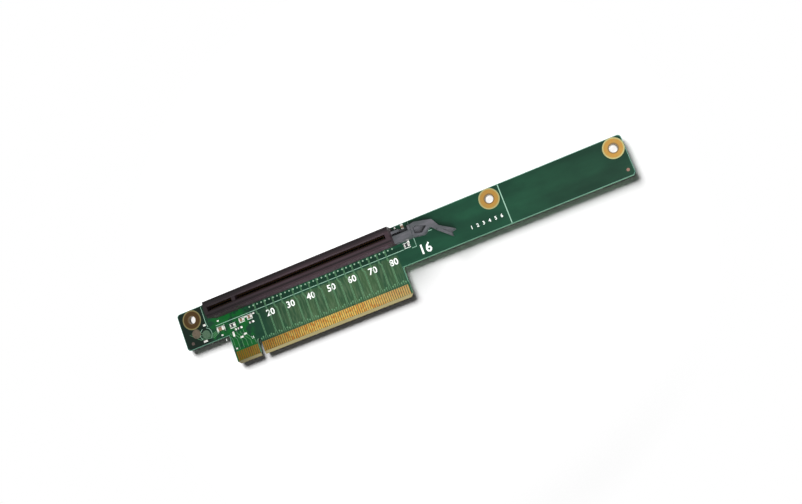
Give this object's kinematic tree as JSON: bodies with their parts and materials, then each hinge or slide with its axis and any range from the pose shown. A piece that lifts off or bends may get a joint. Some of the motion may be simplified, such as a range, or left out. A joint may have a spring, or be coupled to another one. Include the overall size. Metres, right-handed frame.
{
  "type": "pcie riser card",
  "caption": "Passive x16 riser board: gold-fingered edge tab, upright card slot with retention clip on one side, and two arms with plated mounting holes.",
  "frame": {"origin": "centre line of the tab's key notch at the tab's leading edge, on the board's back face", "axes": "+X along the board towards the long arm, +Y from the gold fingers towards the far long edge, +Z out of the side that carries the slot"},
  "size_m": [0.21, 0.0311, 0.014],
  "materials": {
    "board_mask": "green solder mask over woven glass-fibre laminate, semi-gloss",
    "hard_gold": "hard gold plating, satin",
    "plated_copper": "gold-flashed copper, satin",
    "slot_plastic": "moulded black-brown polyester, fine texture",
    "contact_metal": "tin and gold plated copper alloy",
    "clip_plastic": "moulded dark grey nylon, satin",
    "tinned_cap": "solder-tinned, satin",
    "capacitor_ceramic": "brown ceramic, matt",
    "resistor_ceramic": "black glaze over ceramic, semi-gloss"
  },
  "bodies": {
    "root": {"circuit_board": "board_mask", "edge_fingers_back_after_key": "hard_gold", "edge_fingers_back_before_key": "hard_gold", "edge_fingers_front_after_key": "hard_gold", "edge_fingers_front_before_key": "hard_gold", "mount_eyelets": "plated_copper", "slot_housing": "slot_plastic", "slot_contacts_back_inner": "contact_metal", "slot_contacts_back_outer": "contact_metal", "slot_contacts_front_inner": "contact_metal", "slot_contacts_front_outer": "contact_metal", "retention_clip": "clip_plastic", "chip_capacitor_1_body": "capacitor_ceramic", "chip_capacitor_1_terminals": "tinned_cap", "chip_capacitor_2_body": "capacitor_ceramic", "chip_capacitor_2_terminals": "tinned_cap", "chip_capacitor_3_body": "capacitor_ceramic", "chip_capacitor_3_terminals": "tinned_cap", "chip_capacitor_4_body": "capacitor_ceramic", "chip_capacitor_4_terminals": "tinned_cap", "chip_resistor_1_body": "resistor_ceramic", "chip_resistor_1_terminals": "tinned_cap", "chip_resistor_2_body": "resistor_ceramic", "chip_resistor_2_terminals": "tinned_cap", "chip_resistor_3_body": "resistor_ceramic", "chip_resistor_3_terminals": "tinned_cap", "chip_resistor_4_body": "resistor_ceramic", "chip_resistor_4_terminals": "tinned_cap"}
  },
  "joints": []
}
